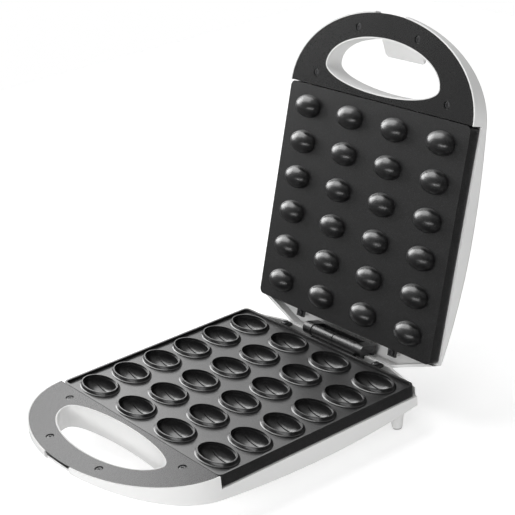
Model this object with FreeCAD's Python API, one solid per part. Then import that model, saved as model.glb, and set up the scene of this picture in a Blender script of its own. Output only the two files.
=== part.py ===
"""Electric nut-shell baker: a hinged two-plate appliance with a flip latch, in millimetres.

Every piece is drawn with the lid shut, in a frame whose z = 0 is the parting plane between the plates,
whose +X is the user's right, and whose +Y runs from the handle to the hinge. The pieces of the lid are
then turned about the hinge to the open rest pose, and everything is set down with its feet on z = 0.
"""

import FreeCAD
import Part

import math
import os

from FreeCAD import Matrix, Vector

# Baking plates
PLATE_WIDTH = 226.0
PLATE_DEPTH = 198.0
PLATE_WALL = 2.2
SKIRT_DEPTH = 9.6
PLATE_CORNER_RADIUS = 5.0
LIP_HEIGHT = 2.4
LIP_WIDTH = 1.8
COLUMNS = 4
ROWS = 6
PITCH_X = 56.0
PITCH_Y = 32.0
PLATE_GAP = 0.6

# Moulds of the lower plate and domes of the upper one
RIM_LENGTH = 42.0
RIM_WIDTH = 25.6
RIM_LAND = 1.2
RIM_ROUND = 0.5
COLLAR_HEIGHT = 3.4
COLLAR_FLARE = 1.6
STEP_DEPTH = 2.2
STEP_LEDGE = 0.6
BOWL_DEPTH = 9.8
RIB_OFFSET = 5.5
RIB_WIDTH = 1.3
RIB_HEIGHT = 1.0
RIB_LENGTH = 27.0
DOME_LENGTH = 30.8
DOME_WIDTH = 20.4
DOME_HEIGHT = 9.5
DOME_SHOULDER = 0.8

# Casings
SHELL_WALL = 2.2
SHELL_OVERHANG = 2.0
SKIN_MARGIN = 8.0
SKIN_ROWS = 9
SKIN_STATIONS = 21
SHELL_GAP = 0.8
BASE_EDGE_ROUND = 2.6
LID_EDGE_ROUND = 4.0
HANDLE_REACH = 75.0
GRIP_HALF_LENGTH = 70.0
GRIP_FRONT = 30.0
GRIP_BACK = 15.5
GRIP_CENTRE = 22.0
TRIM_THICKNESS = 2.2
TRIM_LEVEL = 0.8
TRIM_LIP = 1.3
TRIM_GAP = 0.8
BASE_BACK_REACH = 12.5
BASE_BACK_HALF_WIDTH = 70.0
BASE_TIP_DEPTH = 6.8
BASE_SHOULDER_DEPTH = 21.5
BASE_BELLY_DEPTH = 27.5
BASE_HEEL_DEPTH = 18.5
BASE_CROWN = 3.5
LID_BACK_REACH = 17.0
LID_BACK_HALF_WIDTH = 66.0
LID_TIP_HEIGHT = 8.4
LID_SHOULDER_HEIGHT = 17.0
LID_BELLY_HEIGHT = 24.0
LID_HEEL_HEIGHT = 10.0
LID_CROWN = 8.0
BACK_LEDGE_DROP = 4.6
LID_BACK_RISE = 5.4

# Hinge
HINGE_BEHIND_PLATE = 11.4
HINGE_DROP = 1.4
OPEN_ANGLE = 107.2
BARREL_RADIUS = 5.0
BARREL_HALF_LENGTH = 28.0
EAR_LENGTH = 10.0
EAR_RADIUS = 5.6
HINGE_PIN_RADIUS = 2.2
HINGE_CLEARANCE = 0.06
HINGE_SIDE_GAP = 0.35
BARREL_GROOVE = 0.5
BARREL_WEB = 4.0

# Latch
LATCH_HALF_WIDTH = 18.0
LATCH_TAB_HALF_WIDTH = 24.0
LATCH_SIDE_GAP = 0.4
LATCH_PIVOT_BACK = 4.5
LATCH_PIVOT_RISE = 5.8
LATCH_EYE_RADIUS = 2.4
LATCH_PIN_RADIUS = 1.25
LATCH_OFFSET = 5.95
LATCH_THICKNESS = 2.5
LATCH_ROOT = 18.2
LATCH_TAB = 21.6
LATCH_TAB_CORNER = 2.4
LATCH_FLARE = 25.0
LATCH_FOLD = 55.0
LATCH_HOOK_REACH = 7.2
LATCH_HOOK_HALF_WIDTH = 12.6
LATCH_RECESS_DEPTH = 17.6
CATCH_DEPTH = 3.5

# Fasteners
TRIM_SCREWS = ((82.0, 12.0), (36.6, 58.0))
SCREW_HEAD_RADIUS = 3.0
SCREW_HEAD_HEIGHT = 1.7
SCREW_SHANK_RADIUS = 1.4
SCREW_LENGTH = 8.0
SCREW_POCKET_GAP = 0.4
SCREW_POCKET_DEPTH = 0.5
SCREW_DRIVE_LENGTH = 3.6
SCREW_DRIVE_WIDTH = 0.8
BOSS_RADIUS = 3.6
LUG_WIDTH = 9.0
LUG_REACH = 8.5
LUG_THICKNESS = 2.4
BACK_LUG_X = 61.0
FRONT_LUG_X = 88.0
FRONT_LUG_REACH = 7.5
BACK_LUG_DROP = 2.6
FRONT_LUG_DROP = 6.6

# Heating parts
HEATER_RADIUS = 3.0
HEATER_BEND = 12.0
HEATER_SIDE_GAP = 1.2
HEATER_PLATE_GAP = 0.2
TERMINAL_RADIUS = 1.2
TERMINAL_LENGTH = 6.0
CLIP_LENGTH = 10.0
CLIP_WIDTH = 8.0
CLIP_GAP = 1.0
REFLECTOR_WALL = 0.8
REFLECTOR_RISE = 2.4
REFLECTOR_SIDE_GAP = 1.2
REFLECTOR_CUP_GAP = 0.4
THERMOSTAT_RADIUS = 7.5
THERMOSTAT_HEIGHT = 6.5
THERMOSTAT_BODY_HEIGHT = 3.9
THERMOSTAT_CAP_RADIUS = 5.0
THERMOSTAT_TAB_HALF_LENGTH = 11.2
THERMOSTAT_TAB_HALF_WIDTH = 2.1
THERMOSTAT_TAB_RISE = 1.9
THERMOSTAT_TAB_THICKNESS = 0.7
FUSE_RADIUS = 2.2
FUSE_LENGTH = 9.0
FUSE_WIRE_RADIUS = 0.7
FUSE_WIRE_REACH = 2.2
TERMINAL_BLOCK = (30.0, 12.0, 6.0)
TERMINAL_BLOCK_AT = (30.0, 62.0)
POST_RADIUS = 3.0
POST_AT = (56.0, 32.0)
FIT_GAP = 0.1

# Feet, cord inlet and lamps
GROUND_DROP = 40.0
REAR_FOOT_AT = (103.0, 86.0)
FRONT_FOOT_AT = (66.0, -80.0)
FOOT_TOP_RADIUS = 7.5
FOOT_BOTTOM_RADIUS = 4.4
PAD_HEIGHT = 1.6
PAD_RADIUS = 3.8
GLAND_X = 50.0
GLAND_DROP = 14.6
GLAND_BORE = 2.6
GLAND_RADIUS = 4.0
GLAND_FLANGE_RADIUS = 5.0
GLAND_FLANGE = 1.5
GLAND_REACH = 3.6
LAMP_RADIUS = 4.0
LAMP_FLANGE_RADIUS = 5.4
LAMP_PROUD = 0.7
LAMP_SPACING = 30.0
LAMP_Y = -66.0
LAMP_HOLDER = (44.0, 13.0, 4.0)

# Places that follow from the sizes above
HALF_WIDTH = PLATE_WIDTH / 2
HALF_DEPTH = PLATE_DEPTH / 2
SHELL_HALF_WIDTH = HALF_WIDTH + SHELL_OVERHANG
HINGE_Y = HALF_DEPTH + HINGE_BEHIND_PLATE
HINGE_Z = -HINGE_DROP
RIM_TOP = -PLATE_GAP / 3
FLOOR_TOP = RIM_TOP - COLLAR_HEIGHT
LIP_TOP = FLOOR_TOP + LIP_HEIGHT
FLOOR_UNDER = FLOOR_TOP - PLATE_WALL
LOWER_SKIRT_END = LIP_TOP - SKIRT_DEPTH
UPPER_FACE = RIM_TOP + PLATE_GAP
UPPER_SKIRT_END = UPPER_FACE + SKIRT_DEPTH
BOWL_TOP = RIM_TOP - STEP_DEPTH
BOWL_LENGTH = RIM_LENGTH - 2 * (RIM_LAND + STEP_LEDGE)
BOWL_WIDTH = RIM_WIDTH - 2 * (RIM_LAND + STEP_LEDGE)
CUP_BOTTOM = BOWL_TOP - BOWL_DEPTH - PLATE_WALL
HEATER_Z = FLOOR_UNDER - HEATER_PLATE_GAP - HEATER_RADIUS
HEATER_X = HALF_WIDTH - PLATE_WALL - HEATER_SIDE_GAP - HEATER_RADIUS
HEATER_Y = (ROWS / 2 - 1) * PITCH_Y
UPPER_HEATER_Z = UPPER_FACE + PLATE_WALL + HEATER_PLATE_GAP + HEATER_RADIUS
REFLECTOR_TOP = CUP_BOTTOM - REFLECTOR_CUP_GAP
UPPER_REFLECTOR = UPPER_HEATER_Z + HEATER_RADIUS + REFLECTOR_CUP_GAP + LUG_THICKNESS
TRIM_UNDER = TRIM_LEVEL + TRIM_THICKNESS
TIP_Y = -HALF_DEPTH - HANDLE_REACH
TRIM_BACK = -HALF_DEPTH - TRIM_GAP
GRIP_Y = -HALF_DEPTH - GRIP_CENTRE
LATCH_Y = TIP_Y + LATCH_PIVOT_BACK
BASE_BACK_Y = HALF_DEPTH + BASE_BACK_REACH
LID_BACK_Y = HALF_DEPTH + LID_BACK_REACH
TALL = 120.0


# Basic solids

def box(x0, x1, y0, y1, z0, z1):
    """A block between two corners."""
    return Part.makeBox(x1 - x0, y1 - y0, z1 - z0, Vector(x0, y0, z0))


def cylinder(radius, start, end):
    """A round bar from one point to another."""
    start, end = Vector(*start), Vector(*end)
    return Part.makeCylinder(radius, (end - start).Length, start, end - start)


def ellipsoid(length, width, depth):
    """A solid ellipsoid about the origin, from its full length and width and its half height."""
    matrix = Matrix()
    matrix.scale(Vector(length / 2, width / 2, depth))
    return Part.makeSphere(1.0).transformGeometry(matrix)


def ellipse_wire(length, width, z):
    """A closed ellipse at a height, longer along X."""
    return Part.Wire(Part.Ellipse(Vector(0, 0, z), length / 2, width / 2).toShape())


def stack(rings):
    """A solid through ellipses given as (length, width, height), with straight flanks."""
    return Part.makeLoft([ellipse_wire(*ring) for ring in rings], True, True)


def prism(wire, z0, z1):
    """A flat closed outline carried from one height to another."""
    face = Part.Face(wire)
    face.translate(Vector(0, 0, z0))
    return face.extrude(Vector(0, 0, z1 - z0))


def moved(shape, x, y, z=0.0):
    """A copy of a shape, shifted."""
    copy = shape.copy()
    copy.translate(Vector(x, y, z))
    return copy


def on_grid(shape):
    """Copies of a shape at every mould of the plate."""
    places = [
        ((column - (COLUMNS - 1) / 2) * PITCH_X, (row - (ROWS - 1) / 2) * PITCH_Y)
        for column in range(COLUMNS)
        for row in range(ROWS)
    ]
    return [moved(shape, x, y) for x, y in places]


def polygon(points):
    """A closed wire through flat points."""
    corners = [Vector(x, y, 0) for x, y in points]
    return Part.makePolygon(corners + corners[:1])


# Outlines

def rounded_rectangle(half_x, half_y, radius):
    """A plate outline with round corners, about the origin."""
    sides = Part.makePolygon([
        Vector(-half_x, -half_y, 0), Vector(half_x, -half_y, 0), Vector(half_x, half_y, 0),
        Vector(-half_x, half_y, 0), Vector(-half_x, -half_y, 0),
    ])
    block = Part.Face(sides).extrude(Vector(0, 0, 1))
    upright = [edge for edge in block.Edges if abs(edge.tangentAt(edge.FirstParameter).z) > 0.5]
    rounded = block.makeFillet(radius, upright)
    bottom = min(rounded.Faces, key=lambda face: face.CenterOfMass.z)
    return bottom.OuterWire


def casing_outline(inset, back_y, back_half_width):
    """The casing seen from above: a half ellipse at the handle, straight sides and a tapered back."""
    half = SHELL_HALF_WIDTH - inset
    front = -HALF_DEPTH
    bow = Part.Ellipse(Vector(0, front, 0), half, HANDLE_REACH - inset)
    arc = bow.toShape(math.pi, 2 * math.pi)
    points = [(half, front), (half, HALF_DEPTH - inset), (back_half_width - inset / 2, back_y - inset),
              (inset / 2 - back_half_width, back_y - inset), (-half, HALF_DEPTH - inset), (-half, front)]
    corners = [Vector(x, y, 0) for x, y in points]
    sides = [Part.LineSegment(a, b).toShape() for a, b in zip(corners, corners[1:])]
    return Part.Wire([arc] + sides)


def trim_outline(inset, back):
    """The handle panel: a half ellipse closed by a straight edge beside the plate, at y = back."""
    half = SHELL_HALF_WIDTH - inset
    bow = Part.Ellipse(Vector(0, -HALF_DEPTH, 0), half, HANDLE_REACH - inset)
    drop = math.asin((back + HALF_DEPTH) / (HANDLE_REACH - inset))
    arc = bow.toShape(math.pi - drop, 2 * math.pi + drop)
    ends = [vertex.Point for vertex in arc.Vertexes]
    return Part.Wire([arc, Part.LineSegment(ends[1], ends[0]).toShape()])


def grip_outline(spread):
    """The finger opening of a handle: a deep half ellipse in front of a shallow one."""
    centre = Vector(0, GRIP_Y, 0)
    half = GRIP_HALF_LENGTH + spread
    front = Part.Ellipse(centre, half, GRIP_FRONT + spread).toShape(math.pi, 2 * math.pi)
    back = Part.Ellipse(centre, half, GRIP_BACK + spread).toShape(0, math.pi)
    return Part.Wire([front, back])


def side_height(y, tip, shoulder, belly, heel, heel_y):
    """How far a casing's side edge stands from the parting plane: two parabolas, then the handle's fall."""
    if y > 0:
        return belly - (belly - heel) * (y / heel_y) ** 2
    if y > -HALF_DEPTH:
        return belly - (belly - shoulder) * (y / HALF_DEPTH) ** 2
    share = (-HALF_DEPTH - y) / HANDLE_REACH
    fall = 2 * (belly - shoulder) * HANDLE_REACH / HALF_DEPTH
    return shoulder - fall * share - (shoulder - tip - fall) * share * abs(share)


def crowned_side(heights, heel_y, crown, sink, side):
    """A tall solid beyond the outer skin of a casing, which bows from handle to hinge and across.

    The heights (tip, shoulder, belly, heel) are those of the casing's side edge, and the crown is added
    at the middle. It fades out along the handle. Side is +1 for the lid and -1 for the base.
    """
    reach = SHELL_HALF_WIDTH + SKIN_MARGIN
    front, back = TIP_Y - SKIN_MARGIN, heel_y + SKIN_MARGIN
    rows = []
    for across in range(SKIN_ROWS):
        share = 2 * across / (SKIN_ROWS - 1) - 1
        row = []
        for along in range(SKIN_STATIONS):
            y = front + (back - front) * along / (SKIN_STATIONS - 1)
            rise = max(0.0, min(1.0, (y - TIP_Y) / HANDLE_REACH))
            bulge = crown * (1 - share * share) * rise * rise * (3 - 2 * rise)
            row.append(Vector(share * reach, y, side * (side_height(y, *heights, heel_y) + bulge - sink)))
        rows.append(row)
    skin = Part.BSplineSurface()
    skin.interpolate(rows)
    return skin.toShape().extrude(Vector(0, 0, side * TALL))


# Casings

def base_skin(sink):
    """Everything below the base's outer skin, or below its inner skin when sunk by a wall."""
    heights = (BASE_TIP_DEPTH, BASE_SHOULDER_DEPTH, BASE_BELLY_DEPTH, BASE_HEEL_DEPTH)
    return crowned_side(heights, BASE_BACK_Y, BASE_CROWN, sink, -1)


def lid_skin(sink):
    """Everything above the lid's outer skin, or above its inner skin when sunk by a wall."""
    heights = (LID_TIP_HEIGHT, LID_SHOULDER_HEIGHT, LID_BELLY_HEIGHT, LID_HEEL_HEIGHT)
    return crowned_side(heights, LID_BACK_Y, LID_CROWN, sink, 1)


def rounded_skin_edges(block, radius):
    """The block with the sharp edge between its sides and its crowned skin rounded."""
    skin = max(block.Faces, key=lambda face: abs(face.CenterOfMass.z))
    return block.makeFillet(radius, skin.OuterWire.Edges)


def casing(beyond, beyond_inner, back_y, back_half_width, side):
    """A hollow casing half, open at the parting plane, with a lip round the seat of its handle panel.

    Side is +1 for the lid and -1 for the base.
    """
    low, high = sorted((side * TRIM_LEVEL, side * TALL / 2))
    outer = prism(casing_outline(0, back_y, back_half_width), low, high).cut(beyond)
    outer = rounded_skin_edges(outer, LID_EDGE_ROUND if side > 0 else BASE_EDGE_ROUND)
    grip_low, grip_high = sorted((0.0, side * TALL))
    room = prism(casing_outline(SHELL_WALL, back_y, back_half_width), low, high).cut(beyond_inner)
    room = room.cut(prism(grip_outline(SHELL_WALL), grip_low, grip_high))
    seat_low, seat_high = sorted((side * TRIM_LEVEL, side * TRIM_UNDER))
    seat = prism(trim_outline(TRIM_LIP, -HALF_DEPTH), seat_low, seat_high)
    seat = seat.cut(prism(grip_outline(TRIM_LIP), seat_low, seat_high))
    return outer.cut([prism(grip_outline(0), grip_low, grip_high), room, seat]), room


def plate_window(edge):
    """The air above a casing's side edge, where the plate's skirt stands."""
    low, high = sorted((0.0, edge))
    return box(-SHELL_HALF_WIDTH - 1, SHELL_HALF_WIDTH + 1, -HALF_DEPTH - TRIM_GAP / 2,
               HALF_DEPTH + SHELL_GAP, low, high)


def trim_screw_places():
    """Where the handle panel's screws stand, as (x, y)."""
    return [(sign * x, -HALF_DEPTH - back) for x, back in TRIM_SCREWS for sign in (-1, 1)]


def pillars(places, radius, start, room):
    """Round bosses from a casing's skin to a level, each kept inside the casing's room."""
    end = TALL if start > 0 else -TALL
    return [cylinder(radius, (x, y, start), (x, y, end)).common(room) for x, y in places]


def base_lug_places():
    """Where the lower plate's lugs are screwed down, as (x, y, level of the lug's underside)."""
    back = HALF_DEPTH + LUG_REACH / 2 + FIT_GAP
    front = -HALF_DEPTH - FRONT_LUG_REACH / 2 - FIT_GAP
    return [(sign * BACK_LUG_X, back, -BACK_LUG_DROP - LUG_THICKNESS) for sign in (-1, 1)] + [
        (sign * FRONT_LUG_X, front, -FRONT_LUG_DROP - LUG_THICKNESS) for sign in (-1, 1)]


def foot(x, y):
    """A tapered foot, from the belly of the base to the top of its pad."""
    bottom = -GROUND_DROP + PAD_HEIGHT
    top = -BASE_HEEL_DEPTH
    return Part.makeCone(FOOT_BOTTOM_RADIUS, FOOT_TOP_RADIUS, top - bottom, Vector(x, y, bottom))


def foot_places():
    """The four feet, as (x, y)."""
    return [(sign * x, y) for x, y in (REAR_FOOT_AT, FRONT_FOOT_AT) for sign in (-1, 1)]


def post_places():
    """The posts that hold a reflector, as (x, y)."""
    x, y = POST_AT
    return [(a * x, b * y) for a in (-1, 1) for b in (-1, 1)]


def pilot_holes(places, length):
    """Screw holes at (x, y, level), each running away from the parting plane."""
    return [cylinder(SCREW_SHANK_RADIUS, (x, y, z), (x, y, z + math.copysign(length, z)))
            for x, y, z in places]


def lower_shell():
    """The white base casing with its handle, bosses, posts, feet and catch."""
    shell, room = casing(base_skin(0), base_skin(SHELL_WALL), BASE_BACK_Y, BASE_BACK_HALF_WIDTH, -1)
    solid_room = prism(casing_outline(0, BASE_BACK_Y, BASE_BACK_HALF_WIDTH), -TALL / 2, -TRIM_UNDER)
    solid_room = solid_room.cut(base_skin(0))
    extras = pillars(trim_screw_places(), BOSS_RADIUS, -TRIM_UNDER, room)
    for x, y, z in base_lug_places():
        extras += pillars([(x, y)], BOSS_RADIUS, z, room)
    extras += pillars(post_places(), POST_RADIUS, REFLECTOR_TOP - REFLECTOR_WALL, room)
    x, y = TERMINAL_BLOCK_AT
    wide, deep, _ = TERMINAL_BLOCK
    shelf = box(x - wide / 2, x + wide / 2, y - deep / 2, y + deep / 2, -TALL / 2, block_shelf())
    extras.append(shelf.common(room))
    extras += [foot(*place).cut(solid_room) for place in foot_places()]
    shell = shell.multiFuse(extras)
    cuts = [plate_window(LOWER_SKIRT_END - SHELL_GAP)]
    cuts.append(box(-SHELL_HALF_WIDTH - 1, SHELL_HALF_WIDTH + 1, HALF_DEPTH, BASE_BACK_Y + 1,
                    -BACK_LEDGE_DROP, 0))
    notch = BARREL_HALF_LENGTH + EAR_LENGTH + HINGE_SIDE_GAP * 3
    cuts.append(box(-notch, notch, HALF_DEPTH, BASE_BACK_Y + 1, HINGE_Z - EAR_RADIUS - SHELL_GAP, 0))
    catch = LATCH_HALF_WIDTH + LATCH_SIDE_GAP
    cuts.append(box(-catch, catch, TIP_Y - 1, TIP_Y + CATCH_DEPTH, -TALL / 2, 0))
    cuts.append(cylinder(GLAND_RADIUS, (GLAND_X, HALF_DEPTH, -GLAND_DROP),
                         (GLAND_X, BASE_BACK_Y + 1, -GLAND_DROP)))
    cuts += pilot_holes([(x, y, -TRIM_UNDER) for x, y in trim_screw_places()], SCREW_LENGTH)
    cuts += pilot_holes(base_lug_places(), SCREW_LENGTH)
    return shell.cut(cuts).removeSplitter()


def upper_shell():
    """The white lid casing with its handle, bosses, posts, lamp holes and latch recess."""
    shell, room = casing(lid_skin(0), lid_skin(SHELL_WALL), LID_BACK_Y, LID_BACK_HALF_WIDTH, 1)
    extras = pillars(trim_screw_places(), BOSS_RADIUS, TRIM_UNDER, room)
    for x, y, z in lid_lug_places():
        extras += pillars([(x, y)], BOSS_RADIUS, z, room)
    extras += pillars(post_places(), POST_RADIUS, UPPER_REFLECTOR + REFLECTOR_WALL, room)
    hub = LATCH_HALF_WIDTH + LATCH_SIDE_GAP
    cheek = hub + BOSS_RADIUS + SHELL_WALL
    well = box(-cheek, cheek, TIP_Y, TIP_Y + LATCH_RECESS_DEPTH + SHELL_WALL, TRIM_UNDER, TALL / 2)
    extras.append(well.common(room))
    shell = shell.multiFuse(extras)
    cuts = [plate_window(UPPER_SKIRT_END + SHELL_GAP)]
    cuts.append(box(-SHELL_HALF_WIDTH - 1, SHELL_HALF_WIDTH + 1, HALF_DEPTH, LID_BACK_Y + 1,
                    0, LID_BACK_RISE))
    cuts.append(box(-hub, hub, TIP_Y - 1, TIP_Y + LATCH_RECESS_DEPTH, 0, TALL / 2))
    cuts.append(latch_pin())
    cuts += [cylinder(LAMP_RADIUS, (x, LAMP_Y, 0), (x, LAMP_Y, TALL)) for x in lamp_columns()]
    cuts += pilot_holes([(x, y, TRIM_UNDER) for x, y in trim_screw_places()], SCREW_LENGTH)
    cuts += pilot_holes(lid_lug_places(), SCREW_LENGTH)
    return shell.cut(cuts).removeSplitter()


def handle_trim(side):
    """The dark panel that closes a handle, with screw pockets. Side is +1 for the lid, -1 for the base."""
    low, high = sorted((side * TRIM_LEVEL, side * TRIM_UNDER))
    panel = prism(trim_outline(TRIM_LIP + FIT_GAP, TRIM_BACK), low, high)
    cuts = [prism(grip_outline(TRIM_LIP + FIT_GAP), low, high)]
    seat = side * (TRIM_LEVEL + SCREW_POCKET_DEPTH + SCREW_HEAD_HEIGHT)
    for x, y in trim_screw_places():
        cuts.append(cylinder(SCREW_HEAD_RADIUS + SCREW_POCKET_GAP, (x, y, 0), (x, y, seat)))
    return panel.cut(cuts)


# Plates

def plate_tray(face, skirt_end):
    """A shallow pan: a flat face with a skirt on every side, before any mould is cut."""
    outline = rounded_rectangle(HALF_WIDTH, HALF_DEPTH, PLATE_CORNER_RADIUS)
    inner = rounded_rectangle(HALF_WIDTH - PLATE_WALL, HALF_DEPTH - PLATE_WALL,
                              PLATE_CORNER_RADIUS - PLATE_WALL)
    low, high = sorted((face, skirt_end))
    back = face + math.copysign(PLATE_WALL, skirt_end - face)
    hollow_low, hollow_high = sorted((back, skirt_end))
    return prism(outline, low, high).cut(prism(inner, hollow_low, hollow_high))


def lug(x, y0, y1, z0, z1):
    """A tab that stands out of a plate's skirt, with a screw hole."""
    tab = box(x - LUG_WIDTH / 2, x + LUG_WIDTH / 2, y0, y1, z0, z1)
    hole_y = y0 + (LUG_REACH / 2 + FIT_GAP) if y1 > HALF_DEPTH else y1 - FRONT_LUG_REACH / 2 - FIT_GAP
    return tab.cut(cylinder(SCREW_SHANK_RADIUS + FIT_GAP, (x, hole_y, z0 - 1), (x, hole_y, z1 + 1)))


def mould_body():
    """The outside of one mould: a flared collar above the floor and a cup below it."""
    base = FLOOR_TOP - PLATE_WALL / 2
    collar = stack((
        (RIM_LENGTH + 2 * COLLAR_FLARE, RIM_WIDTH + 2 * COLLAR_FLARE, base),
        (RIM_LENGTH + 2 * COLLAR_FLARE, RIM_WIDTH + 2 * COLLAR_FLARE, FLOOR_TOP + RIM_ROUND),
        (RIM_LENGTH + COLLAR_FLARE, RIM_WIDTH + COLLAR_FLARE, FLOOR_TOP + 2 * RIM_ROUND),
        (RIM_LENGTH, RIM_WIDTH, RIM_TOP - RIM_ROUND),
        (RIM_LENGTH - RIM_ROUND, RIM_WIDTH - RIM_ROUND, RIM_TOP),
    ))
    cup = ellipsoid(BOWL_LENGTH + 2 * PLATE_WALL, BOWL_WIDTH + 2 * PLATE_WALL, BOWL_DEPTH + PLATE_WALL)
    cup = moved(cup, 0, 0, BOWL_TOP).common(box(-TALL, TALL, -TALL, TALL, -TALL, base))
    return collar, cup


def mould_room():
    """The air in one mould: a straight mouth, a ledge and a bowl with two moulded ribs."""
    mouth = stack((
        (RIM_LENGTH - 2 * RIM_LAND, RIM_WIDTH - 2 * RIM_LAND, RIM_TOP + 1),
        (RIM_LENGTH - 2 * RIM_LAND, RIM_WIDTH - 2 * RIM_LAND, BOWL_TOP),
    ))
    bowl = moved(ellipsoid(BOWL_LENGTH, BOWL_WIDTH, BOWL_DEPTH), 0, 0, BOWL_TOP)
    bowl = bowl.common(box(-TALL, TALL, -TALL, TALL, -TALL, BOWL_TOP))
    core = moved(ellipsoid(BOWL_LENGTH - 2 * RIB_HEIGHT, BOWL_WIDTH - 2 * RIB_HEIGHT,
                           BOWL_DEPTH - RIB_HEIGHT), 0, 0, BOWL_TOP)
    for y in (-RIB_OFFSET, RIB_OFFSET):
        rib = box(-RIB_LENGTH / 2, RIB_LENGTH / 2, y - RIB_WIDTH / 2, y + RIB_WIDTH / 2, -TALL, BOWL_TOP)
        bowl = bowl.cut(rib.cut(core))
    return mouth.fuse(bowl)


def lower_plate():
    """The lower baking plate: a pan with a raised lip, the moulds and the lugs."""
    tray = plate_tray(FLOOR_TOP, LOWER_SKIRT_END)
    outer = rounded_rectangle(HALF_WIDTH, HALF_DEPTH, PLATE_CORNER_RADIUS)
    inner = rounded_rectangle(HALF_WIDTH - LIP_WIDTH, HALF_DEPTH - LIP_WIDTH,
                              PLATE_CORNER_RADIUS - LIP_WIDTH)
    lip = prism(outer, FLOOR_TOP, LIP_TOP).cut(prism(inner, FLOOR_TOP, LIP_TOP))
    collar, cup = mould_body()
    lugs = []
    for sign in (-1, 1):
        lugs.append(lug(sign * BACK_LUG_X, HALF_DEPTH, HALF_DEPTH + LUG_REACH,
                        -BACK_LUG_DROP - LUG_THICKNESS, -BACK_LUG_DROP))
        lugs.append(lug(sign * FRONT_LUG_X, -HALF_DEPTH - FRONT_LUG_REACH, -HALF_DEPTH,
                        -FRONT_LUG_DROP - LUG_THICKNESS, -FRONT_LUG_DROP))
    body = tray.multiFuse([lip] + on_grid(collar) + on_grid(cup) + lugs)
    return body.cut(on_grid(mould_room())).removeSplitter()


def lid_lug_places():
    """Where the upper plate's lugs are screwed up, as (x, y, level of the lug's upper side)."""
    level = UPPER_SKIRT_END
    back = HALF_DEPTH + LUG_REACH / 2 + FIT_GAP
    front = -HALF_DEPTH - FRONT_LUG_REACH / 2 - FIT_GAP
    return [(sign * BACK_LUG_X, back, level) for sign in (-1, 1)] + [
        (sign * FRONT_LUG_X, front, level) for sign in (-1, 1)]


def upper_plate():
    """The upper baking plate: a pan whose face carries hollow domes, with four lugs."""
    tray = plate_tray(UPPER_FACE, UPPER_SKIRT_END)
    middle = UPPER_FACE + PLATE_WALL / 2
    dome = moved(ellipsoid(DOME_LENGTH, DOME_WIDTH, DOME_HEIGHT), 0, 0, UPPER_FACE)
    dome = dome.common(box(-TALL, TALL, -TALL, TALL, -TALL, UPPER_FACE))
    foot_ring = stack((
        (DOME_LENGTH + 2 * DOME_SHOULDER, DOME_WIDTH + 2 * DOME_SHOULDER, middle),
        (DOME_LENGTH + 2 * DOME_SHOULDER, DOME_WIDTH + 2 * DOME_SHOULDER, UPPER_FACE - PLATE_GAP / 6),
    ))
    hollow = moved(ellipsoid(DOME_LENGTH - 2 * PLATE_WALL, DOME_WIDTH - 2 * PLATE_WALL,
                             DOME_HEIGHT - PLATE_WALL), 0, 0, UPPER_FACE)
    hollow = hollow.common(box(-TALL, TALL, -TALL, TALL, -TALL, UPPER_FACE))
    hollow = hollow.fuse(stack((
        (DOME_LENGTH - 2 * PLATE_WALL, DOME_WIDTH - 2 * PLATE_WALL, UPPER_FACE),
        (DOME_LENGTH - 2 * PLATE_WALL, DOME_WIDTH - 2 * PLATE_WALL, UPPER_FACE + 2 * PLATE_WALL),
    )))
    lugs = []
    for sign in (-1, 1):
        lugs.append(lug(sign * BACK_LUG_X, HALF_DEPTH, HALF_DEPTH + LUG_REACH,
                        UPPER_SKIRT_END - LUG_THICKNESS, UPPER_SKIRT_END))
        lugs.append(lug(sign * FRONT_LUG_X, -HALF_DEPTH - FRONT_LUG_REACH, -HALF_DEPTH,
                        UPPER_SKIRT_END - LUG_THICKNESS, UPPER_SKIRT_END))
    body = tray.multiFuse(on_grid(dome) + on_grid(foot_ring) + lugs)
    return body.cut(on_grid(hollow)).removeSplitter()


# Fasteners

def screw(x, y, head_top, direction):
    """A pan-head screw with a cross recess. Direction is +1 or -1, the way its shank points along z."""
    seat = head_top + direction * SCREW_HEAD_HEIGHT
    head = cylinder(SCREW_HEAD_RADIUS, (x, y, head_top), (x, y, seat))
    crown = max(head.Edges, key=lambda edge: -direction * edge.CenterOfMass.z)
    head = head.makeFillet(SCREW_DRIVE_WIDTH, [crown])
    shank = cylinder(SCREW_SHANK_RADIUS, (x, y, seat), (x, y, seat + direction * SCREW_LENGTH))
    low, high = sorted((head_top, head_top + direction * SCREW_HEAD_HEIGHT / 2))
    long, thin = SCREW_DRIVE_LENGTH / 2, SCREW_DRIVE_WIDTH / 2
    cross = [box(x - long, x + long, y - thin, y + thin, low, high),
             box(x - thin, x + thin, y - long, y + long, low, high)]
    return head.fuse(shank).cut(cross)


def trim_screws(side):
    """The four screws of one handle panel."""
    top = side * (TRIM_LEVEL + SCREW_POCKET_DEPTH)
    return Part.makeCompound([screw(x, y, top, side) for x, y in trim_screw_places()])


def lower_plate_screws():
    """The screws that hold the lower plate's lugs to the base."""
    return Part.makeCompound([
        screw(x, y, z + LUG_THICKNESS + SCREW_HEAD_HEIGHT, -1) for x, y, z in base_lug_places()])


def upper_plate_screws():
    """The screws that hold the upper plate's lugs to the lid."""
    return Part.makeCompound([
        screw(x, y, z - LUG_THICKNESS - SCREW_HEAD_HEIGHT, 1) for x, y, z in lid_lug_places()])


# Heating parts

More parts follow.
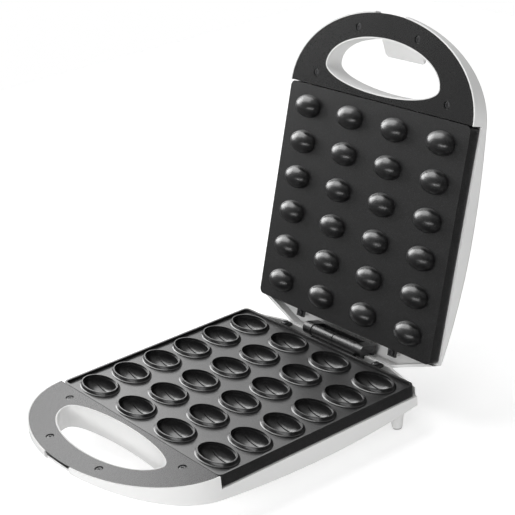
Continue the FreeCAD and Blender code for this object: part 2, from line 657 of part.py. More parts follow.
def heater(level):
    """A bent tubular element between the rows of moulds, with a pin at each end."""
    bend = HEATER_BEND
    end_x = HEATER_X
    turn = bend * (1 - math.sqrt(0.5))
    points = [Vector(end_x, HEATER_Y, level), Vector(bend - end_x, HEATER_Y, level),
              Vector(turn - end_x, HEATER_Y - turn, level), Vector(-end_x, HEATER_Y - bend, level),
              Vector(-end_x, bend - HEATER_Y, level), Vector(turn - end_x, turn - HEATER_Y, level),
              Vector(bend - end_x, -HEATER_Y, level), Vector(end_x, -HEATER_Y, level)]
    path = Part.Wire([
        Part.LineSegment(points[0], points[1]).toShape(), Part.Arc(*points[1:4]).toShape(),
        Part.LineSegment(points[3], points[4]).toShape(), Part.Arc(*points[4:7]).toShape(),
        Part.LineSegment(points[6], points[7]).toShape()])
    ring = Part.Wire(Part.Circle(points[0], Vector(1, 0, 0), HEATER_RADIUS).toShape())
    tube = path.makePipeShell([ring], True, False)
    pins = []
    for y in (-HEATER_Y, HEATER_Y):
        inner_end = (end_x - TERMINAL_LENGTH, y, level)
        outer_end = (end_x + HEATER_SIDE_GAP, y, level)
        pins.append(cylinder(TERMINAL_RADIUS, inner_end, outer_end))
    return tube.multiFuse(pins)


def heater_clips(level, tray):
    """Four saddles that stand on a reflector and press the element to its plate."""
    side = 1 if tray > level else -1
    low, high = sorted((tray, level + side * CLIP_GAP))
    long, wide = CLIP_LENGTH / 2, CLIP_WIDTH / 2
    clips = []
    for x in (-PITCH_X, PITCH_X):
        for y in (-HEATER_Y, HEATER_Y):
            block = box(x - long, x + long, y - wide, y + wide, low, high)
            groove = cylinder(HEATER_RADIUS, (x - CLIP_LENGTH, y, level), (x + CLIP_LENGTH, y, level))
            clips.append(block.cut(groove))
    return Part.makeCompound(clips)


def reflector(level, side):
    """A thin bright pan behind the element, with a turned-up edge that faces the plate."""
    half_x = HALF_WIDTH - PLATE_WALL - REFLECTOR_SIDE_GAP
    half_y = HALF_DEPTH - PLATE_WALL - REFLECTOR_SIDE_GAP
    low, high = sorted((level + side * REFLECTOR_WALL, level - side * REFLECTOR_RISE))
    pan = prism(rounded_rectangle(half_x, half_y, PLATE_CORNER_RADIUS), low, high)
    inner = rounded_rectangle(half_x - REFLECTOR_WALL, half_y - REFLECTOR_WALL,
                              PLATE_CORNER_RADIUS - REFLECTOR_WALL)
    hollow_low, hollow_high = sorted((level, level - side * REFLECTOR_RISE))
    return pan.cut(prism(inner, hollow_low, hollow_high))


def thermostat(contact, side):
    """A disc thermostat against the back of a plate, with its cap and two tabs."""
    top = contact + side * THERMOSTAT_BODY_HEIGHT
    end = contact + side * THERMOSTAT_HEIGHT
    body = cylinder(THERMOSTAT_RADIUS, (0, 0, contact), (0, 0, top))
    cap = cylinder(THERMOSTAT_CAP_RADIUS, (0, 0, top), (0, 0, end))
    tab = contact + side * THERMOSTAT_TAB_RISE
    low, high = sorted((tab, tab + side * THERMOSTAT_TAB_THICKNESS))
    long, wide = THERMOSTAT_TAB_HALF_LENGTH, THERMOSTAT_TAB_HALF_WIDTH
    tabs = box(-long, long, -wide, wide, low, high)
    return body.multiFuse([cap, tabs])


def thermal_fuse():
    """A one-shot fuse in its sleeve, against the back of the lower plate."""
    z = FLOOR_UNDER - FUSE_RADIUS
    y = PITCH_Y
    half = FUSE_LENGTH / 2
    end = half + FUSE_WIRE_REACH
    sleeve = cylinder(FUSE_RADIUS, (-half, y, z), (half, y, z))
    wires = cylinder(FUSE_WIRE_RADIUS, (-end, y, z), (end, y, z))
    return sleeve.fuse(wires)


def block_shelf():
    """The level of the shelf in the base that carries the terminal block."""
    return REFLECTOR_TOP - REFLECTOR_WALL - SHELL_GAP - TERMINAL_BLOCK[2]


def terminal_block():
    """The mains terminal block: a moulded strip with three screw wells."""
    wide, deep, tall = TERMINAL_BLOCK
    x, y = TERMINAL_BLOCK_AT
    z = block_shelf()
    body = box(x - wide / 2, x + wide / 2, y - deep / 2, y + deep / 2, z, z + tall)
    columns = [x + step * wide / 3 for step in (-1, 0, 1)]
    wells = [cylinder(SCREW_HEAD_RADIUS, (at, y, z + tall / 2), (at, y, z + tall)) for at in columns]
    return body.cut(wells)


# Hinge, latch, feet, inlet and lamps

def hinge_bar(radius, reach):
    """A round bar about the hinge line, as far to the left as to the right."""
    return cylinder(radius, (-reach, HINGE_Y, HINGE_Z), (reach, HINGE_Y, HINGE_Z))


def hinge_barrel():
    """The base's half of the hinge: a grooved barrel on a foot that stands in the base's back ledge."""
    reach = BARREL_HALF_LENGTH - HINGE_SIDE_GAP
    floor = HINGE_Z - EAR_RADIUS - SHELL_GAP
    front = HINGE_Y - BARREL_WEB
    groove = hinge_bar(BARREL_RADIUS + 1, BARREL_GROOVE).cut(hinge_bar(BARREL_RADIUS - BARREL_GROOVE, 1))
    web = box(-reach, reach, front, BASE_BACK_Y, floor, HINGE_Z)
    tongue = box(-reach, reach, HALF_DEPTH + SHELL_GAP + FIT_GAP, front, floor, floor + PLATE_WALL)
    keel = box(-reach, reach, front, BASE_BACK_Y - SHELL_WALL - FIT_GAP, floor - LUG_REACH, floor)
    bore = hinge_bar(HINGE_PIN_RADIUS + HINGE_CLEARANCE, reach + 1)
    body = hinge_bar(BARREL_RADIUS, reach).multiFuse([web, tongue, keel])
    return body.cut([groove, bore]).removeSplitter()


def hinge_ears():
    """The lid's half of the hinge: two ears on a bar that is held in the lid's back wall."""
    start = BARREL_HALF_LENGTH + HINGE_SIDE_GAP
    end = start + EAR_LENGTH
    top = UPPER_SKIRT_END
    ears = []
    for low, high in ((-end, -start), (start, end)):
        ears.append(cylinder(EAR_RADIUS, (low, HINGE_Y, HINGE_Z), (high, HINGE_Y, HINGE_Z)))
        ears.append(box(low, high, HINGE_Y - EAR_RADIUS, HINGE_Y + EAR_RADIUS / 4, HINGE_Z, top))
    bar = box(-end, end, HINGE_Y - EAR_RADIUS, LID_BACK_Y - SHELL_WALL - FIT_GAP, top - PLATE_WALL, top)
    body = ears[0].multiFuse(ears[1:] + [bar])
    return body.cut(hinge_bar(HINGE_PIN_RADIUS, end + 1)).removeSplitter()


def hinge_pin():
    """The steel rod that the lid turns on, held in the ears."""
    return hinge_bar(HINGE_PIN_RADIUS, BARREL_HALF_LENGTH + HINGE_SIDE_GAP + EAR_LENGTH)


def latch_lever():
    """The flip latch: an eye, a root with a hook and a flared finger tab, drawn about its own pivot.

    It points along +Y, and its hook stands towards +Z.
    """
    half = LATCH_HALF_WIDTH
    inner = LATCH_THICKNESS / 2 - LATCH_OFFSET
    outer = inner - LATCH_THICKNESS
    bend = LATCH_EYE_RADIUS
    eye = cylinder(bend, (-half, 0, 0), (half, 0, 0))
    cheek = bend * math.sqrt(0.5)
    side = ((-cheek, -cheek), (bend, outer), (LATCH_ROOT, outer), (LATCH_ROOT, inner),
            (bend, inner), (cheek, -cheek))
    corners = [Vector(-half, y, z) for y, z in side]
    root = Part.Face(Part.makePolygon(corners + corners[:1])).extrude(Vector(2 * half, 0, 0))
    grab = LATCH_HOOK_HALF_WIDTH
    hook = box(-grab, grab, LATCH_ROOT - LATCH_THICKNESS, LATCH_ROOT, inner, inner + LATCH_HOOK_REACH)
    wide, nip = LATCH_TAB_HALF_WIDTH, LATCH_TAB_CORNER
    shoulder = wide - half
    outline = [(half, 0), (wide, shoulder), (wide, LATCH_TAB - nip), (wide - nip, LATCH_TAB)]
    tab = prism(polygon(outline + [(-x, y) for x, y in reversed(outline)]), outer, inner)
    tab.rotate(Vector(0, 0, inner), Vector(1, 0, 0), -LATCH_FLARE)
    tab.translate(Vector(0, LATCH_ROOT, 0))
    bore = cylinder(LATCH_PIN_RADIUS + HINGE_CLEARANCE, (-half - 1, 0, 0), (half + 1, 0, 0))
    return eye.multiFuse([root, hook, tab]).cut(bore).removeSplitter()


def folded(shape):
    """A latch piece at its pivot on the lid, folded back over the handle."""
    copy = shape.copy()
    copy.rotate(Vector(0, 0, 0), Vector(1, 0, 0), LATCH_FOLD)
    copy.translate(Vector(0, LATCH_Y, LATCH_PIVOT_RISE))
    return copy


def latch_pin():
    """The pin of the latch, held in the lid on both sides of its recess."""
    end = LATCH_HALF_WIDTH + LATCH_SIDE_GAP + BOSS_RADIUS
    return cylinder(LATCH_PIN_RADIUS, (-end, LATCH_Y, LATCH_PIVOT_RISE), (end, LATCH_Y, LATCH_PIVOT_RISE))


def foot_pads():
    """The four rubber pads under the feet."""
    top = -GROUND_DROP + PAD_HEIGHT
    pads = [cylinder(PAD_RADIUS, (x, y, -GROUND_DROP), (x, y, top)) for x, y in foot_places()]
    return Part.makeCompound(pads)


def cord_gland():
    """The bush where a mains cord enters the back of the base."""
    flange = cylinder(GLAND_FLANGE_RADIUS, (GLAND_X, BASE_BACK_Y, -GLAND_DROP),
                      (GLAND_X, BASE_BACK_Y + GLAND_FLANGE, -GLAND_DROP))
    body = cylinder(GLAND_RADIUS, (GLAND_X, BASE_BACK_Y - SHELL_WALL, -GLAND_DROP),
                    (GLAND_X, BASE_BACK_Y + GLAND_REACH, -GLAND_DROP))
    bore = cylinder(GLAND_BORE, (GLAND_X, BASE_BACK_Y - SHELL_WALL - 1, -GLAND_DROP),
                    (GLAND_X, BASE_BACK_Y + GLAND_REACH + 1, -GLAND_DROP))
    return flange.fuse(body).cut(bore).removeSplitter()


def lamp_columns():
    """The two lamps' places across the lid."""
    return (-LAMP_SPACING / 2, LAMP_SPACING / 2)


def lamp_lens(x):
    """A lamp lens that fills its hole in the lid, with a flange against the lid's inner skin."""
    column = cylinder(LAMP_RADIUS, (x, LAMP_Y, lamp_level()), (x, LAMP_Y, TALL))
    lens = column.cut(moved(lid_skin(0), 0, 0, LAMP_PROUD))
    flange = cylinder(LAMP_FLANGE_RADIUS, (x, LAMP_Y, lamp_level()), (x, LAMP_Y, TALL))
    return lens.fuse(flange.cut(lid_skin(SHELL_WALL))).removeSplitter()


def lamp_level():
    """The level of the underside of the lamp lenses."""
    return UPPER_REFLECTOR + REFLECTOR_WALL + LAMP_HOLDER[2]


def lamp_holder():
    """The strip behind the lenses that carries both lamps, standing on the reflector."""
    wide, deep, tall = LAMP_HOLDER
    return box(-wide / 2, wide / 2, LAMP_Y - deep / 2, LAMP_Y + deep / 2, lamp_level() - tall, lamp_level())


# Assembly

def base_pieces():
    """The pieces that stay on the table."""
    return {
        "lower_shell": lower_shell(),
        "lower_handle_trim": handle_trim(-1),
        "lower_trim_screws": trim_screws(-1),
        "lower_plate": lower_plate(),
        "lower_plate_screws": lower_plate_screws(),
        "lower_heater": heater(HEATER_Z),
        "lower_heater_clips": heater_clips(HEATER_Z, REFLECTOR_TOP),
        "lower_reflector": reflector(REFLECTOR_TOP, -1),
        "lower_thermostat": thermostat(FLOOR_UNDER, -1),
        "thermal_fuse": thermal_fuse(),
        "terminal_block": terminal_block(),
        "cord_gland": cord_gland(),
        "foot_pads": foot_pads(),
        "hinge_barrel": hinge_barrel(),
    }


def lid_pieces():
    """The pieces that swing up with the lid, drawn shut."""
    return {
        "upper_shell": upper_shell(),
        "upper_handle_trim": handle_trim(1),
        "upper_trim_screws": trim_screws(1),
        "upper_plate": upper_plate(),
        "upper_plate_screws": upper_plate_screws(),
        "upper_heater": heater(UPPER_HEATER_Z),
        "upper_heater_clips": heater_clips(UPPER_HEATER_Z, UPPER_REFLECTOR),
        "upper_reflector": reflector(UPPER_REFLECTOR, 1),
        "upper_thermostat": thermostat(UPPER_FACE + PLATE_WALL, 1),
        "power_lamp_lens": lamp_lens(lamp_columns()[0]),
        "ready_lamp_lens": lamp_lens(lamp_columns()[1]),
        "lamp_holder": lamp_holder(),
        "hinge_ears": hinge_ears(),
        "hinge_pin": hinge_pin(),
        "latch_pin": latch_pin(),
        "latch_lever": folded(latch_lever()),
    }


def opened(shape):
    """A lid piece swung about the hinge to the open rest pose."""
    copy = shape.copy()
    copy.rotate(Vector(0, HINGE_Y, HINGE_Z), Vector(1, 0, 0), -OPEN_ANGLE)
    return copy


def swung(y, z):
    """A point of the shut lid, as (y, z), swung to the open rest pose."""
    turn = math.radians(OPEN_ANGLE)
    dy, dz = y - HINGE_Y, z - HINGE_Z
    y = HINGE_Y + dy * math.cos(turn) + dz * math.sin(turn)
    z = HINGE_Z - dy * math.sin(turn) + dz * math.cos(turn)
    return y, z


def main():
    """Builds every piece, sets the appliance down about its own middle and writes one file per piece."""
    os.makedirs("parts", exist_ok=True)
    pieces = base_pieces()
    pieces.update({name: opened(shape) for name, shape in lid_pieces().items()})
    outermost = ("lower_shell", "lower_handle_trim", "upper_shell", "latch_lever")
    reach = [pieces[name].optimalBoundingBox(False, False) for name in outermost]
    front = min(bounds.YMin for bounds in reach)
    back = max(bounds.YMax for bounds in reach)
    shift = Vector(0, -(front + back) / 2, GROUND_DROP)
    for name, shape in pieces.items():
        shape.translate(shift)
        shape.exportStep(os.path.join("parts", name + ".step"))
        print(name, "solids", len(shape.Solids), "valid", shape.isValid(), "volume %.0f" % shape.Volume)
    latch_y, latch_z = swung(LATCH_Y, LATCH_PIVOT_RISE)
    print("shift y %.4f" % shift.y)
    print("hinge axis y %.4f z %.4f" % (HINGE_Y + shift.y, HINGE_Z + shift.z))
    print("latch axis y %.4f z %.4f" % (latch_y + shift.y, latch_z + shift.z))
    print("cord inlet x %.4f y %.4f z %.4f" % (GLAND_X, BASE_BACK_Y + shift.y, shift.z - GLAND_DROP))
    print("front %.4f back %.4f" % (front, back))


main()
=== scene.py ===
"""Looks of an electric nut-shell baker with an open lid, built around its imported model.

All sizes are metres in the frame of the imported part: +Z up, +Y from the handles to the hinge, +X to the
user's right, the feet on z = 0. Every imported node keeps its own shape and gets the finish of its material.
"""

import logging
import math
from dataclasses import dataclass, field
from enum import Enum

import bpy
from mathutils import Matrix, Vector

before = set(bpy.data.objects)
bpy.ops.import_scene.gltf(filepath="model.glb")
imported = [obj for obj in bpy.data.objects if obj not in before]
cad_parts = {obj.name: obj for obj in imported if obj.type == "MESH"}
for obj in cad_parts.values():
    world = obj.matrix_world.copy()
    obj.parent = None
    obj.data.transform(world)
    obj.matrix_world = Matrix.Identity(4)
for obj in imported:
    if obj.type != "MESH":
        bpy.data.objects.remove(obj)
LOG = logging.getLogger("baker")
Colour = tuple[float, float, float]
Point = tuple[float, float, float]

WHITE = (1.0, 1.0, 1.0, 1.0)
# Most of a noise pattern lies between these two values
PATTERN_LOW = 0.3
PATTERN_HIGH = 0.7
# Layers of the broad and of the fine pattern, and how strong each finer layer is
BROAD_DETAIL = 4.0
FINE_DETAIL = 3.0
LAYER_STRENGTH = 0.6


class Body(Enum):
    """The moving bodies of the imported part."""

    BASE = "base"
    LID = "lid"
    LATCH = "latch"


class Streak(Enum):
    """How a finish's grain is drawn out: evenly, or along one axis of the part."""

    EVEN = (1.0, 1.0, 1.0)
    ALONG_X = (0.04, 1.0, 1.0)


class Reach(Enum):
    """What a lamp's light is for: everything, reflections alone, or everything but reflections."""

    ALL = "all"
    MIRRORED = "mirrored"
    SCATTERED = "scattered"


class NodeGraph:
    """The nodes of a material or of the sky, with short calls that add, fill, join and map them."""

    def __init__(self, tree: bpy.types.NodeTree) -> None:
        """Takes over a node tree and empties it."""
        self.tree = tree
        self.tree.nodes.clear()

    def add(self, kind: str, **values: object) -> bpy.types.Node:
        """Adds a node and sets its inputs.

        Args:
            kind: the node's type name.
            values: input values by name, with underscores for spaces.

        Returns:
            The new node.
        """
        node = self.tree.nodes.new(kind)
        self.fill(node, **values)
        return node

    def fill(self, node: bpy.types.Node, **values: object) -> None:
        """Sets a node's inputs by name, with underscores for spaces."""
        for name, value in values.items():
            node.inputs[name.replace("_", " ")].default_value = value

    def join(self, source: bpy.types.Node, out: str, target: bpy.types.Node, into: str | int) -> None:
        """Links an output of the source to an input of the target, which has a name or a number."""
        self.tree.links.new(source.outputs[out], target.inputs[into])

    def ramp(self, source: bpy.types.Node, out: str, low: float, high: float,
             start: float, end: float) -> bpy.types.Node:
        """Maps part of a value's range to another range.

        Args:
            source: the node that gives the value.
            out: its output's name.
            low: the value that gives start.
            high: the value that gives end.
            start: the first result.
            end: the last result.

        Returns:
            The mapping node, whose Result output holds the result.
        """
        node = self.add("ShaderNodeMapRange", From_Min=low, From_Max=high, To_Min=start, To_Max=end)
        self.join(source, out, node, "Value")
        return node


class Shader(NodeGraph):
    """A material with one surface shader, and the patterns that the finishes share."""

    def __init__(self, name: str) -> None:
        """Starts a material with a bare surface shader.

        Args:
            name: the material's name.
        """
        self.material = bpy.data.materials.new(name)
        self.material.use_nodes = True
        super().__init__(self.material.node_tree)
        output = self.add("ShaderNodeOutputMaterial")
        self.surface = self.add("ShaderNodeBsdfPrincipled")
        self.join(self.surface, "BSDF", output, "Surface")
        self.place = self.add("ShaderNodeTexCoord")

    def noise(self, scale: float, detail: float, streak: Streak = Streak.EVEN) -> bpy.types.Node:
        """Adds a noise pattern on the part's own coordinates.

        Args:
            scale: the pattern's frequency per metre.
            detail: how many finer layers it has.
            streak: how the pattern is drawn out.

        Returns:
            The noise node, whose Fac output runs from 0 to 1.
        """
        stretch = self.add("ShaderNodeMapping", Scale=streak.value)
        self.join(self.place, "Object", stretch, "Vector")
        pattern = self.add("ShaderNodeTexNoise", Scale=scale, Detail=detail, Roughness=LAYER_STRENGTH)
        self.join(stretch, "Vector", pattern, "Vector")
        return pattern

    def tint(self, share: bpy.types.Node, first: Colour, second: Colour) -> bpy.types.Node:
        """Mixes two colours by a mapped pattern.

        Args:
            share: a mapping node whose Result runs from 0 to 1.
            first: the colour at 0.
            second: the colour at 1.

        Returns:
            The mixing node, whose Color output holds the colour.
        """
        node = self.add("ShaderNodeMixRGB", Color1=(*first, 1.0), Color2=(*second, 1.0))
        self.join(share, "Result", node, "Fac")
        return node

    def bump(self, source: bpy.types.Node, out: str, depth: float, strength: float) -> None:
        """Raises the surface by a pattern.

        Args:
            source: the pattern.
            out: its output's name.
            depth: the height of the grain.
            strength: how much of it shows.
        """
        node = self.add("ShaderNodeBump", Strength=strength, Distance=depth)
        self.join(source, out, node, "Height")
        self.join(node, "Normal", self.surface, "Normal")


@dataclass(frozen=True)
class Finish:
    """A real material: two close tones, a range of roughness and a grain.

    Attributes:
        name: the material's name.
        dark: the darker tone.
        light: the lighter tone.
        smooth: the lowest roughness.
        rough: the highest roughness.
        metal: 1 for bare metal and 0 for the rest.
        gloss: the strength of the surface's reflection.
        coat: the weight of a clear coat.
        mottle: frequency of the broad tone changes, per metre.
        grain: frequency of the fine grain, per metre.
        depth: height of the grain.
        lift: how much of the grain shows.
        streak: how the grain is drawn out.
    """

    name: str
    dark: Colour
    light: Colour
    smooth: float
    rough: float
    metal: float = 0.0
    gloss: float = 0.5
    coat: float = 0.0
    mottle: float = 14.0
    grain: float = 900.0
    depth: float = 0.0002
    lift: float = 0.1
    streak: Streak = Streak.EVEN

    def build(self) -> bpy.types.Material:
        """Makes the material.

        Returns:
            The finished material.
        """
        shader = Shader(self.name)
        shader.fill(shader.surface, Metallic=self.metal, Specular_IOR_Level=self.gloss,
                    Coat_Weight=self.coat, Coat_Roughness=self.smooth)
        broad = shader.noise(self.mottle, BROAD_DETAIL)
        fine = shader.noise(self.grain, FINE_DETAIL, self.streak)
        tone = shader.ramp(broad, "Fac", PATTERN_LOW, PATTERN_HIGH, 0.0, 1.0)
        ground = shader.tint(tone, self.dark, self.light)
        shader.join(ground, "Color", shader.surface, "Base Color")
        shine = shader.ramp(fine, "Fac", PATTERN_LOW, PATTERN_HIGH, self.smooth, self.rough)
        shader.join(shine, "Result", shader.surface, "Roughness")
        shader.bump(fine, "Fac", self.depth, self.lift)
        self.complete(shader, ground)
        return shader.material

    def complete(self, shader: Shader, ground: bpy.types.Node) -> None:
        """Adds what only one kind of finish has, over the ground colour; a plain finish has no more."""


@dataclass(frozen=True)
class NonStick(Finish):
    """A dark baking coat: a satin ground with pale mineral specks.

    Attributes:
        speck: the colour of the specks.
        speck_grain: frequency of the specks, per metre.
        speck_size: radius of a speck as a share of its cell.
        speck_core: share of that radius that has the full colour.
    """

    speck: Colour = (0.09, 0.09, 0.092)
    speck_grain: float = 1400.0
    speck_size: float = 0.26
    speck_core: float = 0.6

    def complete(self, shader: Shader, ground: bpy.types.Node) -> None:
        """Scatters the specks over the coat.

        Args:
            shader: the material under way.
            ground: the node whose Color output is the ground colour.
        """
        cells = shader.add("ShaderNodeTexVoronoi", Scale=self.speck_grain)
        shader.join(shader.place, "Object", cells, "Vector")
        spot = shader.ramp(cells, "Distance", self.speck_size * self.speck_core, self.speck_size, 1.0, 0.0)
        mix = shader.add("ShaderNodeMixRGB", Color2=(*self.speck, 1.0))
        shader.join(spot, "Result", mix, "Fac")
        shader.join(ground, "Color", mix, "Color1")
        shader.join(mix, "Color", shader.surface, "Base Color")


@dataclass(frozen=True)
class Lens(Finish):
    """A clear coloured lamp lens.

    Attributes:
        clear: the share of light that passes.
    """

    clear: float = 0.55

    def complete(self, shader: Shader, ground: bpy.types.Node) -> None:
        """Lets light through."""
        shader.fill(shader.surface, Transmission_Weight=self.clear)


# Finishes of what is seen
WHITE_CASING = Finish("white_casing", (0.74, 0.74, 0.735), (0.77, 0.77, 0.765), 0.34, 0.44,
                      gloss=0.32, grain=700.0, depth=0.00005, lift=0.08)
LATCH_PLASTIC = Finish("latch_plastic", (0.75, 0.75, 0.745), (0.79, 0.79, 0.785), 0.3, 0.38,
                       grain=700.0, depth=0.00005, lift=0.08)
DARK_TRIM = Finish("dark_trim", (0.008, 0.008, 0.0082), (0.012, 0.012, 0.0122), 0.24, 0.31,
                   gloss=0.6, grain=1500.0, depth=0.00012, lift=0.25)
PLATE_COAT = NonStick("plate_coat", (0.0045, 0.0045, 0.0047), (0.0075, 0.0075, 0.0077), 0.27, 0.35,
                      gloss=0.75, coat=0.25, grain=1800.0, depth=0.00006, lift=0.2)
HINGE_PLASTIC = Finish("hinge_plastic", (0.006, 0.006, 0.0062), (0.010, 0.010, 0.0102), 0.24, 0.34,
                       gloss=1.0, grain=1300.0)
BLACK_STEEL = Finish("black_steel", (0.016, 0.016, 0.017), (0.05, 0.05, 0.052), 0.25, 0.4,
                     gloss=0.8, mottle=420.0, grain=2600.0, depth=0.00005)
INLET_RUBBER = Finish("inlet_rubber", (0.018, 0.018, 0.018), (0.028, 0.028, 0.028), 0.6, 0.75,
                      grain=1600.0)
FOOT_RUBBER = Finish("foot_rubber", (0.46, 0.46, 0.455), (0.54, 0.54, 0.535), 0.6, 0.75,
                     grain=1600.0)
RED_LENS = Lens("red_lens", (0.48, 0.012, 0.01), (0.58, 0.02, 0.016), 0.12, 0.2, coat=0.5)
GREEN_LENS = Lens("green_lens", (0.03, 0.30, 0.05), (0.05, 0.38, 0.07), 0.12, 0.2, coat=0.5)

# Finishes of what is inside or mostly covered
SCREW_STEEL = Finish("screw_steel", (0.40, 0.40, 0.41), (0.52, 0.52, 0.53), 0.3, 0.45,
                     metal=1.0, mottle=220.0, grain=2600.0, depth=0.00005)
HEATER_STEEL = Finish("heater_steel", (0.16, 0.14, 0.13), (0.30, 0.27, 0.25), 0.4, 0.55,
                      metal=1.0, mottle=70.0, grain=1900.0, depth=0.00006, streak=Streak.ALONG_X)
BRIGHT_SHEET = Finish("bright_sheet", (0.70, 0.70, 0.72), (0.80, 0.80, 0.82), 0.22, 0.36,
                      metal=1.0, grain=2400.0, depth=0.00004, streak=Streak.ALONG_X)
STEATITE = Finish("steatite", (0.70, 0.66, 0.58), (0.80, 0.77, 0.69), 0.5, 0.65, mottle=160.0)
GLASS_SLEEVE = Finish("glass_sleeve", (0.72, 0.70, 0.65), (0.86, 0.84, 0.80), 0.7, 0.85,
                      mottle=300.0, grain=2200.0, lift=0.3, streak=Streak.ALONG_X)
TERMINAL_PLASTIC = Finish("terminal_plastic", (0.66, 0.63, 0.56), (0.74, 0.72, 0.65), 0.45, 0.55)


@dataclass
class FinishShelf:
    """The materials made so far, so that pieces of one finish share one material.

    Attributes:
        made: the material of each finish.
    """

    made: dict[Finish, bpy.types.Material] = field(default_factory=dict)

    def take(self, finish: Finish) -> bpy.types.Material:
        """Gives a finish's material, and makes it the first time.

        Args:
            finish: the finish that is asked for.

        Returns:
            Its material.
        """
        if finish not in self.made:
            self.made[finish] = finish.build()
        return self.made[finish]


@dataclass
class SubAssembly:
    """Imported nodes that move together, keep their own shape and get a finish.

    Attributes:
        body: the body that they are part of.
        finishes: the nodes of each finish.
    """

    body: Body
    finishes: dict[Finish, tuple[str, ...]]

    def dress(self, shelf: FinishShelf) -> None:
        """Gives every node its finish.

        Args:
            shelf: the materials made so far.
        """
        for finish, names in self.finishes.items():
            for name in names:
                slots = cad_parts[name].data.materials
                slots.clear()
                slots.append(shelf.take(finish))
                LOG.info("%s: %s in %s", self.body.value, name, finish.name)


@dataclass
class Base(SubAssembly):
    """The half that stands on the table, with the moulds."""

    body: Body = Body.BASE
    finishes: dict[Finish, tuple[str, ...]] = field(default_factory=lambda: {
        WHITE_CASING: ("lower_shell",),
        DARK_TRIM: ("lower_handle_trim",),
        PLATE_COAT: ("lower_plate",),
        BLACK_STEEL: ("lower_trim_screws", "lower_plate_screws"),
        HINGE_PLASTIC: ("hinge_barrel",),
        INLET_RUBBER: ("cord_gland",),
        FOOT_RUBBER: ("foot_pads",),
        HEATER_STEEL: ("lower_heater",),
        BRIGHT_SHEET: ("lower_heater_clips", "lower_reflector"),
        STEATITE: ("lower_thermostat",),
        GLASS_SLEEVE: ("thermal_fuse",),
        TERMINAL_PLASTIC: ("terminal_block",),
    })


@dataclass
class Lid(SubAssembly):
    """The half that swings up, with the domes."""

    body: Body = Body.LID
    finishes: dict[Finish, tuple[str, ...]] = field(default_factory=lambda: {
        WHITE_CASING: ("upper_shell",),
        DARK_TRIM: ("upper_handle_trim",),
        PLATE_COAT: ("upper_plate",),
        BLACK_STEEL: ("upper_trim_screws", "upper_plate_screws", "hinge_pin"),
        HINGE_PLASTIC: ("hinge_ears",),
        RED_LENS: ("power_lamp_lens",),
        GREEN_LENS: ("ready_lamp_lens",),
        SCREW_STEEL: ("latch_pin",),
        HEATER_STEEL: ("upper_heater",),
        BRIGHT_SHEET: ("upper_heater_clips", "upper_reflector"),
        STEATITE: ("upper_thermostat",),
        TERMINAL_PLASTIC: ("lamp_holder",),
    })


@dataclass
class Latch(SubAssembly):
    """The lever that holds the shut halves together."""

    body: Body = Body.LATCH
    finishes: dict[Finish, tuple[str, ...]] = field(default_factory=lambda: {
        LATCH_PLASTIC: ("latch_lever",),
    })


@dataclass(frozen=True)
class PhotoCamera:
    """The camera that took the photo, solved from the grid of moulds.

    Attributes:
        place: where it stands.
        azimuth: its turn about the vertical, in degrees; 0 looks along +Y.
        elevation: its height above the horizon, in degrees.
        roll: its tilt about the line of sight, in degrees.
        lens: its focal length, in millimetres.
        sensor: the width of its sensor, in millimetres.
        near: the nearest distance that it sees.
        far: the farthest distance that it sees.
    """

    place: Point = (0.95166, -0.66452, 0.62301)
    azimuth: float = 54.435
    elevation: float = 22.424
    roll: float = -5.648
    lens: float = 107.92
    sensor: float = 36.0
    near: float = 0.01
    far: float = 30.0

    def turn(self) -> Matrix:
        """Works out how the camera is turned.

        Returns:
            The rotation whose columns are the camera's right, up and backward directions, then rolled.
        """
        swing = math.radians(self.azimuth)
        rise = math.radians(self.elevation)
        back = Vector((math.sin(swing) * math.cos(rise), -math.cos(swing) * math.cos(rise), math.sin(rise)))
        right = Vector((math.cos(swing), math.sin(swing), 0.0))
        basis = Matrix((right, right.cross(-back), back)).transposed()
        return basis @ Matrix.Rotation(math.radians(self.roll), 3, "Z")

    def build(self) -> None:
        """Makes the camera and gives it to the scene."""
        data = bpy.data.cameras.new("photo_camera")
        data.sensor_width = self.sensor
        data.lens = self.lens
        data.clip_start = self.near
        data.clip_end = self.far
        camera = bpy.data.objects.new("photo_camera", data)
        camera.location = self.place
        camera.rotation_mode = "QUATERNION"
        camera.rotation_quaternion = self.turn().to_quaternion()
        bpy.context.scene.collection.objects.link(camera)
        bpy.context.scene.camera = camera


@dataclass(frozen=True)
class PanelLamp:
    """A large rectangular lamp that faces a point.

    Attributes:
        name: the lamp's name.
        place: where it hangs.
        aim: the point that it faces.
        width: its level side.
        height: its other side.
        power: its power in watts.
        reach: what its light is for.
    """

    name: str
    place: Point
    aim: Point
    width: float
    height: float
    power: float
    reach: Reach = Reach.ALL

    def build(self) -> None:
        """Makes the lamp."""
        data = bpy.data.lights.new(self.name, "AREA")
        data.shape = "RECTANGLE"
        data.size = self.width
        data.size_y = self.height
        data.energy = self.power
        lamp = bpy.data.objects.new(self.name, data)
        lamp.location = self.place
        lamp.visible_diffuse = self.reach is not Reach.MIRRORED
        lamp.visible_glossy = self.reach is not Reach.SCATTERED
        lamp.rotation_mode = "QUATERNION"
        lamp.rotation_quaternion = (Vector(self.aim) - Vector(self.place)).to_track_quat("-Z", "Y")
        bpy.context.scene.collection.objects.link(lamp)


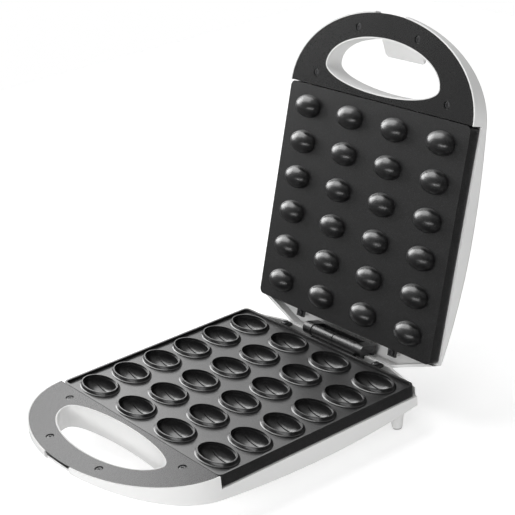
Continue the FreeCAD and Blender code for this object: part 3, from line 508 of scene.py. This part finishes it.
@dataclass
class Studio:
    """A white studio: a pale floor, panel lamps, and a sky that reflections show darker in front.

    Attributes:
        floor_half: half the floor's side.
        floor_tone: the floor's grey.
        floor_rough: the floor's roughness.
        floor_glow: light of the floor's own that keeps it white.
        floor_mirrored: the floor's strength in reflections, as a share of how it is seen.
        sky_light: strength of the sky as a lamp.
        sky_seen: strength of the sky where it is seen.
        sky_side: the direction of the sky's bright side.
        sky_low: how far towards that side the mirrored sky starts to brighten.
        sky_high: how far towards that side it is brightest.
        sky_dark: strength of the mirrored sky on its dark side.
        sky_bright: strength of the mirrored sky on its bright side.
        lamps: the lamps; a card is one that only reflections show.
    """

    floor_half: float = 1.1
    floor_tone: float = 0.86
    floor_rough: float = 0.9
    floor_glow: float = 0.38
    floor_mirrored: float = 0.1
    sky_light: float = 0.48
    sky_seen: float = 1.0
    sky_side: Point = (-0.6, 0.4, 0.5)
    sky_low: float = -0.4
    sky_high: float = 0.9
    sky_dark: float = 0.05
    sky_bright: float = 0.52
    lamps: list[PanelLamp] = field(default_factory=lambda: [
        PanelLamp("top_box", (-0.9, -0.05, 1.6), (0.0, 0.0, 0.1), 1.4, 1.0, 15.5),
        PanelLamp("left_card", (-1.8, -0.2, 0.85), (0.0, 0.0, 0.18), 1.0, 1.2, 24.0, Reach.MIRRORED),
        PanelLamp("back_card", (-2.2, 1.65, 1.35), (0.0, 0.0, 0.1), 1.4, 0.9, 3.7, Reach.MIRRORED),
        PanelLamp("handle_card", (-2.2, 0.75, 1.5), (0.0, 0.0, 0.1), 0.9, 0.9, 7.2, Reach.MIRRORED),
        PanelLamp("front_box", (0.5, -1.9, 0.7), (0.0, 0.0, 0.1), 1.4, 0.4, 16.5, Reach.SCATTERED),
        PanelLamp("front_card", (0.3, -1.9, 0.3), (0.0, 0.0, 0.15), 1.6, 0.35, 9.0, Reach.MIRRORED),
    ])

    def build(self) -> None:
        """Makes the floor, the sky and the lamps."""
        self.build_floor()
        self.build_sky()
        for lamp in self.lamps:
            lamp.build()

    def build_floor(self) -> None:
        """Makes a flat floor at the height of the feet, which takes shadows and stays white elsewhere."""
        half = self.floor_half
        corners = [(-half, -half, 0.0), (half, -half, 0.0), (half, half, 0.0), (-half, half, 0.0)]
        mesh = bpy.data.meshes.new("floor")
        mesh.from_pydata(corners, [], [(0, 1, 2, 3)])
        mesh.materials.append(self.floor_material())
        floor = bpy.data.objects.new("floor", mesh)
        bpy.context.scene.collection.objects.link(floor)

    def floor_material(self) -> bpy.types.Material:
        """Makes the floor's material, which is weaker in reflections.

        Returns:
            The floor's material.
        """
        shader = Shader("studio_floor")
        shader.fill(shader.surface, Roughness=self.floor_rough, Specular_IOR_Level=0.0,
                    Emission_Color=WHITE)
        rays = shader.add("ShaderNodeLightPath")
        for strength, socket in ((self.floor_tone, "Base Color"), (self.floor_glow, "Emission Strength")):
            level = shader.ramp(rays, "Is Glossy Ray", 0.0, 1.0, strength, strength * self.floor_mirrored)
            shader.join(level, "Result", shader.surface, socket)
        return shader.material

    def build_sky(self) -> None:
        """Makes the sky: white where it is seen or seen through, level as a lamp, graded in reflections."""
        world = bpy.data.worlds.new("studio_sky")
        world.use_nodes = True
        graph = NodeGraph(world.node_tree)
        toward = graph.add("ShaderNodeVectorMath")
        toward.operation = "DOT_PRODUCT"
        toward.inputs[1].default_value = self.sky_side
        graph.join(graph.add("ShaderNodeTexCoord"), "Generated", toward, 0)
        mirrored = graph.ramp(toward, "Value", self.sky_low, self.sky_high, self.sky_dark, self.sky_bright)
        mirrored.interpolation_type = "SMOOTHSTEP"
        rays = graph.add("ShaderNodeLightPath")
        unseen = graph.add("ShaderNodeMix", A=self.sky_light)
        graph.join(rays, "Is Glossy Ray", unseen, "Factor")
        graph.join(mirrored, "Result", unseen, "B")
        straight = graph.add("ShaderNodeMath")
        straight.operation = "MAXIMUM"
        graph.join(rays, "Is Camera Ray", straight, 0)
        graph.join(rays, "Is Transmission Ray", straight, 1)
        strength = graph.add("ShaderNodeMix", B=self.sky_seen)
        graph.join(straight, "Value", strength, "Factor")
        graph.join(unseen, "Result", strength, "A")
        sky = graph.add("ShaderNodeBackground", Color=WHITE)
        graph.join(strength, "Result", sky, "Strength")
        graph.join(sky, "Background", graph.add("ShaderNodeOutputWorld"), "Surface")
        bpy.context.scene.world = world


def main() -> None:
    """Builds the scene in order: the finishes of the sub-assemblies, the studio and the camera."""
    logging.basicConfig(level=logging.INFO, format="%(name)s: %(message)s")
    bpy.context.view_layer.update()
    bpy.context.scene.view_settings.view_transform = "Standard"
    shelf = FinishShelf()
    for part in (Base(), Lid(), Latch()):
        part.dress(shelf)
    Studio().build()
    PhotoCamera().build()


if __name__ == "__main__":
    main()
